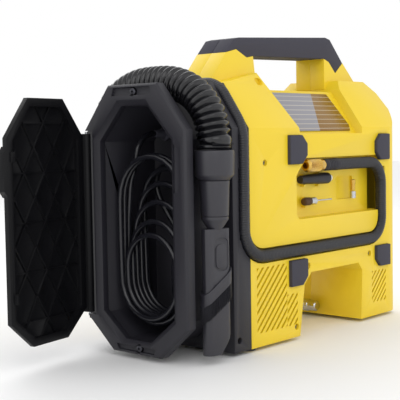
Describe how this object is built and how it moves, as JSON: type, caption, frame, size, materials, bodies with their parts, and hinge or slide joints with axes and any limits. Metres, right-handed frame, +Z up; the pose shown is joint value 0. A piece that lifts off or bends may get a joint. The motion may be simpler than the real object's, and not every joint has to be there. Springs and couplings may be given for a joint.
{
  "type": "portable tyre inflator and car vacuum",
  "caption": "Corded portable tyre inflator and car vacuum: yellow two-half shell on two legs, carry handle, black end housing with open cord compartment, wound suction hose and stowed air hose.",
  "frame": {"origin": "middle of the overall length and depth on the resting surface, with the door open as modelled", "axes": "+X towards the plain end, -X the cord compartment, -Y the accessory tray side, +Y the control side, +Z up"},
  "size_m": [0.517, 0.19, 0.338],
  "materials": {
    "yellow_shell": "moulded yellow ABS, fine satin texture",
    "black_housing": "moulded black ABS, fine spark texture",
    "black_door": "moulded black ABS, ribbed inner face",
    "soft_grip": "overmoulded TPE, matt",
    "bumper_rubber": "moulded TPE, matt",
    "label": "printed polyester sticker, satin",
    "air_hose": "finely ribbed rubber",
    "suction_hose": "glossy corrugated polyethylene",
    "bristles": "nylon bristle",
    "cord": "PVC cable sheath, satin",
    "plug_body": "moulded plug body",
    "panel": "black ABS panel",
    "display": "smoked acrylic window",
    "key": "silicone keys",
    "rocker": "red rocker",
    "dust_cup": "smoked plastic cup",
    "filter_paper": "pleated paper",
    "inner_plastic": "unpainted inner moulding",
    "motor_steel": "drawn steel can",
    "cast_metal": "die cast",
    "steel": "turned steel",
    "needle_metal": "nickel plated",
    "brass": "knurled brass",
    "board": "glass-epoxy board",
    "chrome": "polished plating"
  },
  "bodies": {
    "machine": {"tray_side_shell": "yellow_shell", "control_side_shell": "yellow_shell", "tray_bumper_upper_left": "bumper_rubber", "control_bumper_upper_left": "bumper_rubber", "tray_bumper_upper_right": "bumper_rubber", "control_bumper_upper_right": "bumper_rubber", "tray_bumper_lower_left": "bumper_rubber", "control_bumper_lower_left": "bumper_rubber", "tray_bumper_lower_right": "bumper_rubber", "control_bumper_lower_right": "bumper_rubber", "rating_label": "label", "grip_tray_side": "soft_grip", "grip_control_side": "soft_grip", "end_housing": "black_housing", "compartment_frame": "black_housing", "door_hinge_pin": "steel", "foot_near_left": "bumper_rubber", "foot_near_right": "bumper_rubber", "foot_far_left": "bumper_rubber", "foot_far_right": "bumper_rubber", "air_hose": "air_hose", "air_hose_sleeve": "black_housing", "suction_hose": "suction_hose", "hose_port_cuff": "black_housing", "hose_port_elbow": "black_housing", "wand_cuff": "black_housing", "wand_tube": "black_housing", "cord_gland": "cord", "power_cord": "cord", "cord_coil": "cord", "power_plug": "plug_body", "control_panel": "panel", "display_window": "display", "dust_filter": "filter_paper", "fan_scroll": "inner_plastic", "fan_motor": "motor_steel", "compressor_motor": "motor_steel", "compressor_bracket": "cast_metal", "cylinder": "cast_metal", "cylinder_head": "cast_metal", "circuit_board": "board", "air_outlet_fitting": "chrome"},
    "door": {"compartment_door": "black_door"},
    "brush": {"brush_collar": "black_housing", "brush_bristles": "bristles"},
    "nozzle": {"crevice_nozzle": "black_housing"},
    "chuck": {"chuck_nut": "brass"},
    "cone_adapter": {"cone_nozzle": "black_housing"},
    "needle": {"ball_needle": "needle_metal"},
    "presta_adapter": {"valve_adaptor": "brass"},
    "minus_key": {"key_minus": "key"},
    "start_key": {"key_power": "key"},
    "plus_key": {"key_plus": "key"},
    "rocker": {"mode_rocker": "rocker"},
    "cup": {"dust_cup": "dust_cup"},
    "impeller": {"fan_impeller": "inner_plastic"},
    "pinion": {"motor_pinion": "brass"},
    "crank": {"crank_wheel": "steel"},
    "piston": {"piston": "cast_metal"},
    "rod": {"connecting_rod": "cast_metal"}
  },
  "joints": [
    {"name": "door_hinge", "type": "hinge", "parent": "machine", "child": "door", "pos_m": [-0.13645, 0.064, 0.14], "axis": [0, 0, 1], "range_deg": [-30, 80]},
    {"name": "brush_slide", "type": "slide", "parent": "nozzle", "child": "brush", "axis": [0, 0, 1], "range_m": [-0.03, 0]},
    {"name": "nozzle_turn", "type": "hinge", "parent": "machine", "child": "nozzle", "pos_m": [-0.09745, -0.075, 0.14], "axis": [0, 0, 1], "range_deg": [-20, 20]},
    {"name": "chuck_spin", "type": "hinge", "parent": "machine", "child": "chuck", "pos_m": [0.07355, -0.072, 0.1885], "axis": [1, 0, 0], "continuous": true},
    {"name": "cone_pull", "type": "slide", "parent": "machine", "child": "cone_adapter", "axis": [0, -1, 0], "range_m": [0, 0.03]},
    {"name": "needle_pull", "type": "slide", "parent": "machine", "child": "needle", "axis": [0, -1, 0], "range_m": [0, 0.03]},
    {"name": "adaptor_pull", "type": "slide", "parent": "machine", "child": "presta_adapter", "axis": [0, -1, 0], "range_m": [0, 0.03]},
    {"name": "minus_press", "type": "slide", "parent": "machine", "child": "minus_key", "axis": [0, -1, 0], "range_m": [0, 0.0015], "stiffness_N_per_m": 400},
    {"name": "start_press", "type": "slide", "parent": "machine", "child": "start_key", "axis": [0, -1, 0], "range_m": [0, 0.0015], "stiffness_N_per_m": 400},
    {"name": "plus_press", "type": "slide", "parent": "machine", "child": "plus_key", "axis": [0, -1, 0], "range_m": [0, 0.0015], "stiffness_N_per_m": 400},
    {"name": "rocker_tilt", "type": "hinge", "parent": "machine", "child": "rocker", "pos_m": [0.17455, 0.0705, 0.19], "axis": [1, 0, 0], "range_deg": [-7, 7]},
    {"name": "cup_twist", "type": "hinge", "parent": "machine", "child": "cup", "pos_m": [0.00155, 0.073, 0.128], "axis": [0, 1, 0], "range_deg": [-30, 0]},
    {"name": "impeller_spin", "type": "hinge", "parent": "machine", "child": "impeller", "pos_m": [0.00155, 0.03, 0.128], "axis": [0, 1, 0], "continuous": true},
    {"name": "crank_spin", "type": "hinge", "parent": "machine", "child": "crank", "pos_m": [0.15255, 0.008, 0.14012], "axis": [1, 0, 0], "continuous": true},
    {"name": "pinion_spin", "type": "hinge", "parent": "machine", "child": "pinion", "pos_m": [0.15255, 0.008, 0.112], "axis": [1, 0, 0], "continuous": true},
    {"name": "piston_slide", "type": "slide", "parent": "machine", "child": "piston", "axis": [0, 0, 1], "range_m": [-0.0075, 0.0075]},
    {"name": "rod_swing", "type": "hinge", "parent": "piston", "child": "rod", "pos_m": [0.16755, 0.008, 0.203], "axis": [1, 0, 0], "range_deg": [-8, 8]}
  ],
  "couplings": [
    {"joint": "pinion_spin", "follows": "crank_spin", "ratio": -4}
  ]
}
